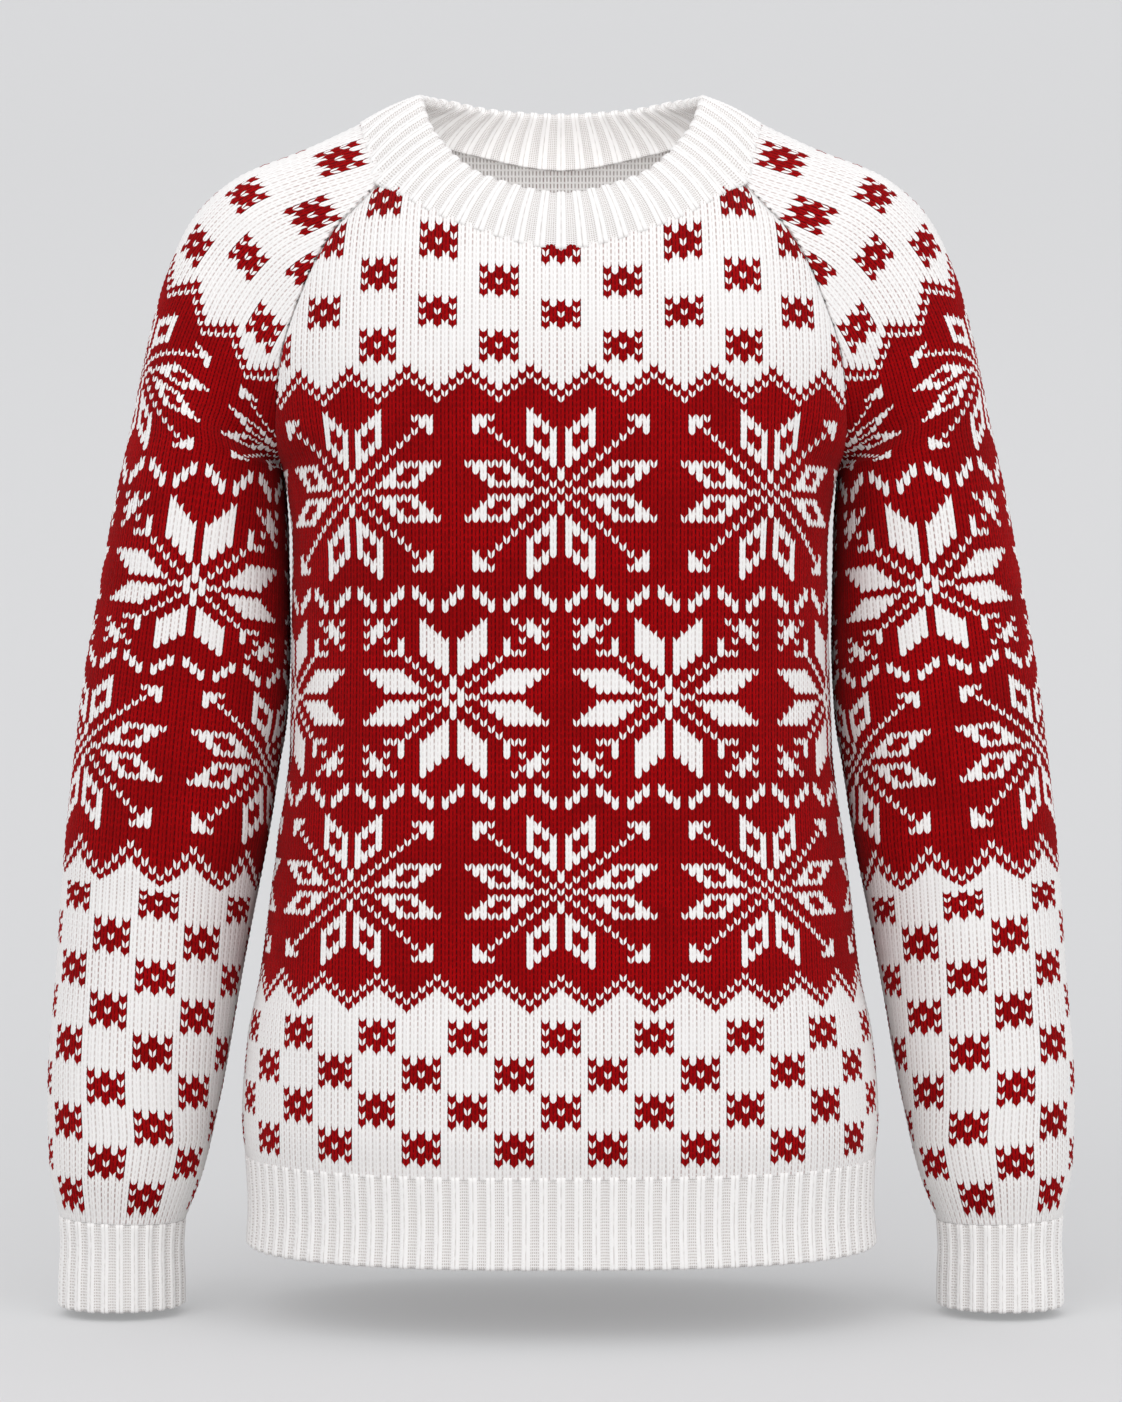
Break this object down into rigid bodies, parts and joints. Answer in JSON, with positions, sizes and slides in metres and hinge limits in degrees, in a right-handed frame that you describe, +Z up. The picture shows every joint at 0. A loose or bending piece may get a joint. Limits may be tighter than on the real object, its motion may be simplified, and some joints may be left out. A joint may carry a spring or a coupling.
{
  "type": "christmas sweater",
  "caption": "Hollow long-sleeved raglan pullover in thick white and red patterned knit, filled out as if worn, with ribbed neck, hem and cuffs.",
  "frame": {"origin": "middle of the neck opening at the shoulder line, where a wearer's neck holds the garment up", "axes": "+Z up along the body, the front faces -Y, +X towards the wearer's left sleeve"},
  "size_m": [0.569, 0.2248, 0.6759],
  "materials": {
    "patterned_knit": "matt stranded stocking stitch in white and deep red wool-blend yarn",
    "white_rib": "matt white knitted rib, soft and slightly brushed"
  },
  "bodies": {
    "root": {"front": "patterned_knit", "back": "patterned_knit", "sleeve_left": "patterned_knit", "sleeve_right": "patterned_knit", "neckband": "white_rib", "hem_rib_front": "white_rib", "hem_rib_back": "white_rib", "cuff_left": "white_rib", "cuff_right": "white_rib"}
  },
  "joints": []
}
